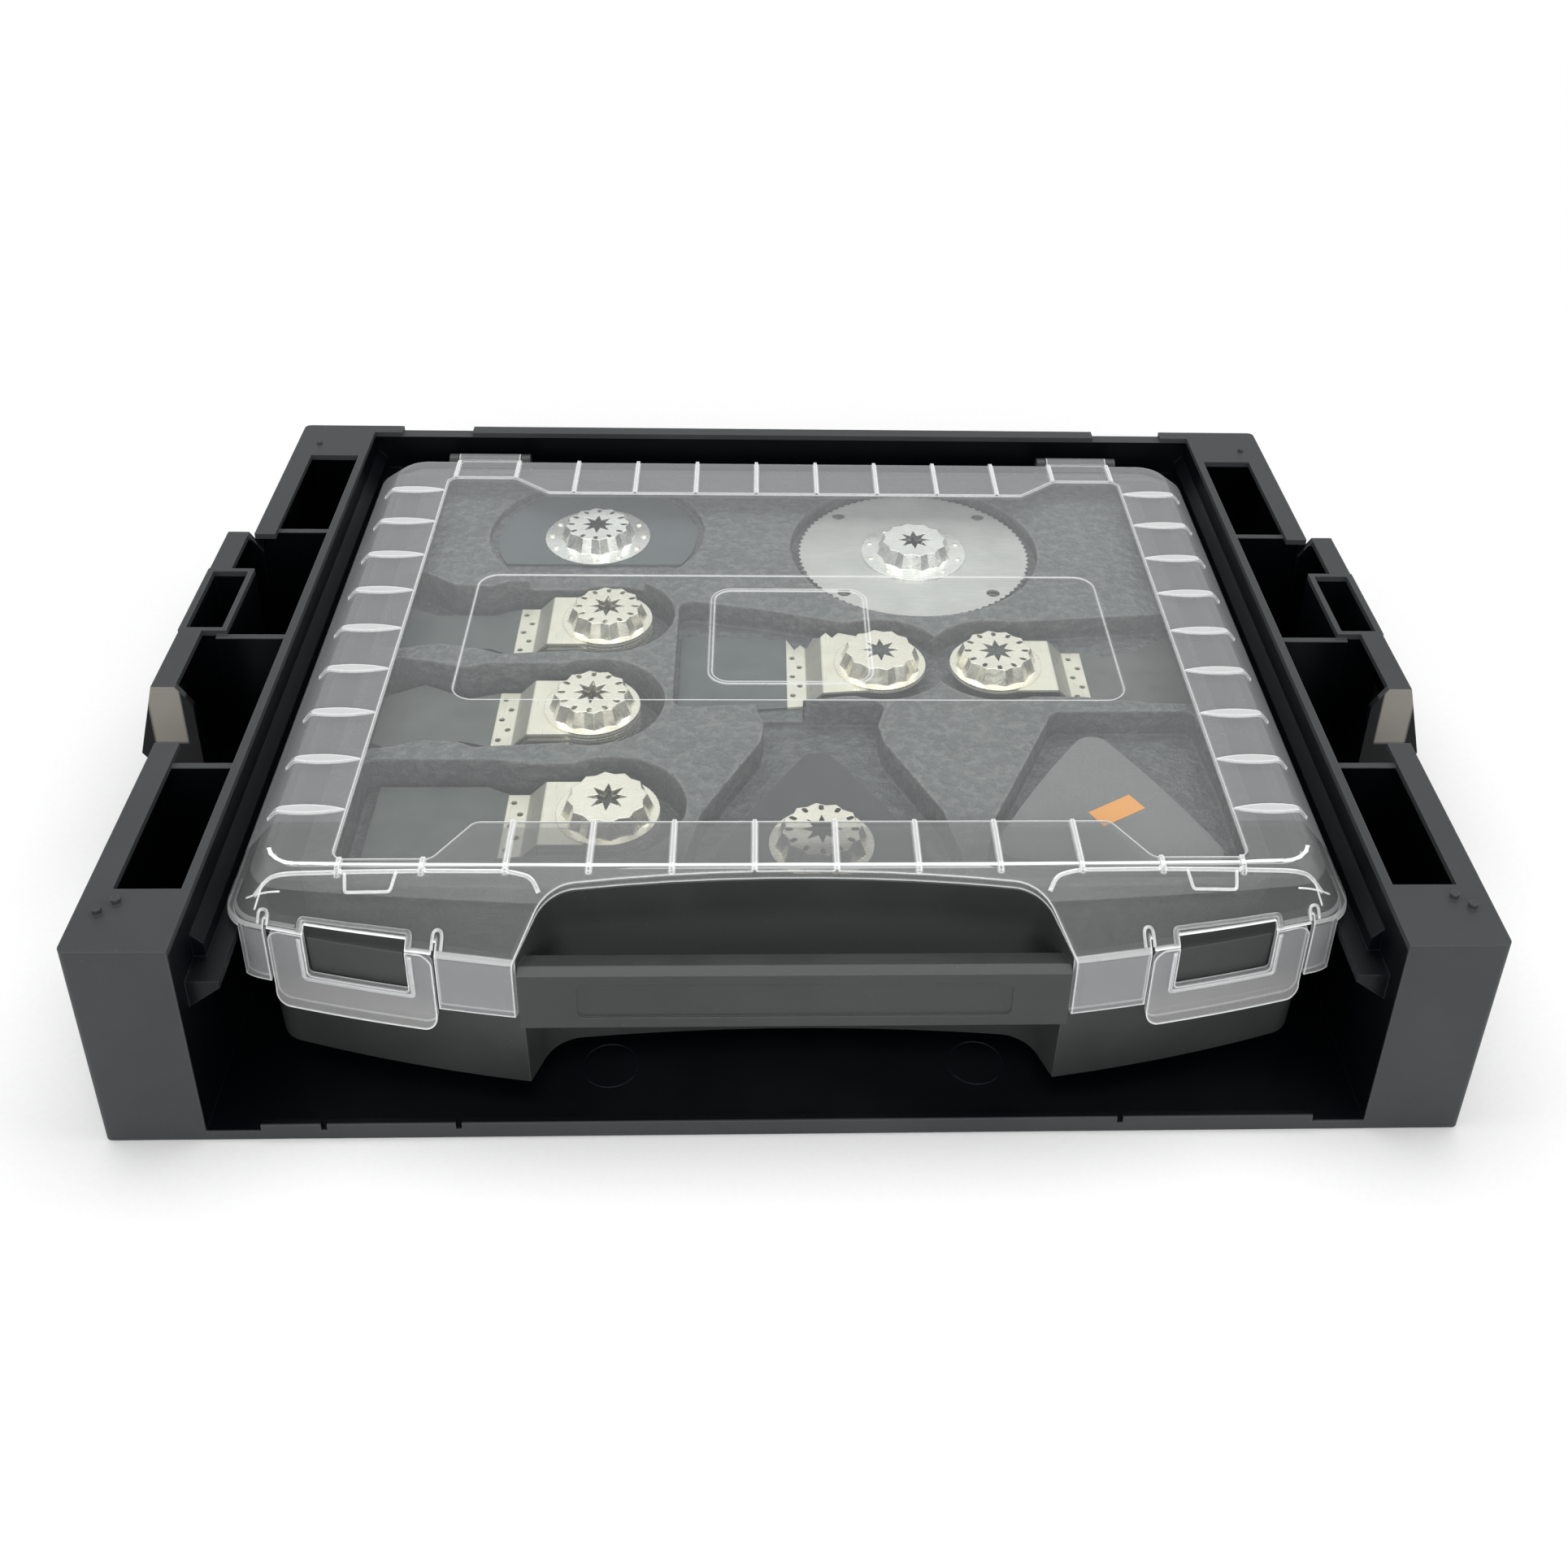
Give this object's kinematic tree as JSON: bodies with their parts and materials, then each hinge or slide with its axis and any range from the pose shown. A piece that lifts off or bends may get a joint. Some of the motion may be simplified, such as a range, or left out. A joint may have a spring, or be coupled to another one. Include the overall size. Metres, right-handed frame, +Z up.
{
  "type": "saw blade storage case",
  "caption": "Flat blade case with a clear ribbed lid, front handle and two latches, filled with oscillating-tool blades and hung in an open-front stacking rack.",
  "frame": {"origin": "centre of the rack's underside", "axes": "+X to the right seen from the open front, +Y toward the rear wall, +Z up; the front faces -Y"},
  "size_m": [0.48, 0.338, 0.084],
  "materials": {
    "rack_plastic": "satin moulded plastic",
    "case_plastic": "satin moulded plastic",
    "clear_plastic": "clear moulded plastic, slightly smoky",
    "tray_plastic": "formed grained sheet",
    "blade_steel": "brushed",
    "mount_steel": "bright stamped",
    "coated_blade": "dark coating",
    "pin_steel": "plain",
    "pad_rubber": "matte",
    "abrasive": "grit-coated sheet",
    "label_paper": "matte sticker"
  },
  "bodies": {
    "rack": {"rack_frame": "rack_plastic"},
    "case": {"case_base": "case_plastic", "insert_tray": "tray_plastic", "hinge_pin_left": "pin_steel", "hinge_pin_right": "pin_steel", "segment_blade": "coated_blade", "segment_blade_mount": "mount_steel", "segment_blade_rivets": "mount_steel", "round_blades": "blade_steel", "round_blade_mounts": "mount_steel", "rear_plunge_blades": "blade_steel", "rear_plunge_mounts": "mount_steel", "middle_plunge_blades": "blade_steel", "middle_plunge_mounts": "mount_steel", "front_plunge_blades": "blade_steel", "front_plunge_mounts": "mount_steel", "wide_serrated_blades": "blade_steel", "wide_serrated_mounts": "mount_steel", "scraper_blades": "blade_steel", "scraper_mounts": "mount_steel", "sanding_pad": "pad_rubber", "sanding_pad_mount": "mount_steel", "sanding_sheets": "abrasive", "grit_label": "label_paper"},
    "lid": {"case_lid": "clear_plastic"},
    "latch_left": {"latch_tab_left": "clear_plastic"},
    "latch_right": {"latch_tab_right": "clear_plastic"}
  },
  "joints": [
    {"name": "case_slide", "type": "slide", "parent": "rack", "child": "case", "axis": [0, -1, 0], "range_m": [0, 0.27]},
    {"name": "lid_hinge", "type": "hinge", "parent": "case", "child": "lid", "pos_m": [0, 0.1545, 0.0715], "axis": [-1, 0, 0], "range_deg": [0, 95]},
    {"name": "latch_left_flex", "type": "hinge", "parent": "lid", "child": "latch_left", "pos_m": [-0.14075, -0.14958, 0.0657], "axis": [-0.975, 0.222, 0], "range_deg": [0, 12], "stiffness_Nm_per_rad": 1},
    {"name": "latch_right_flex", "type": "hinge", "parent": "lid", "child": "latch_right", "pos_m": [0.14075, -0.14958, 0.0657], "axis": [-0.975, -0.222, 0], "range_deg": [0, 12], "stiffness_Nm_per_rad": 1}
  ]
}
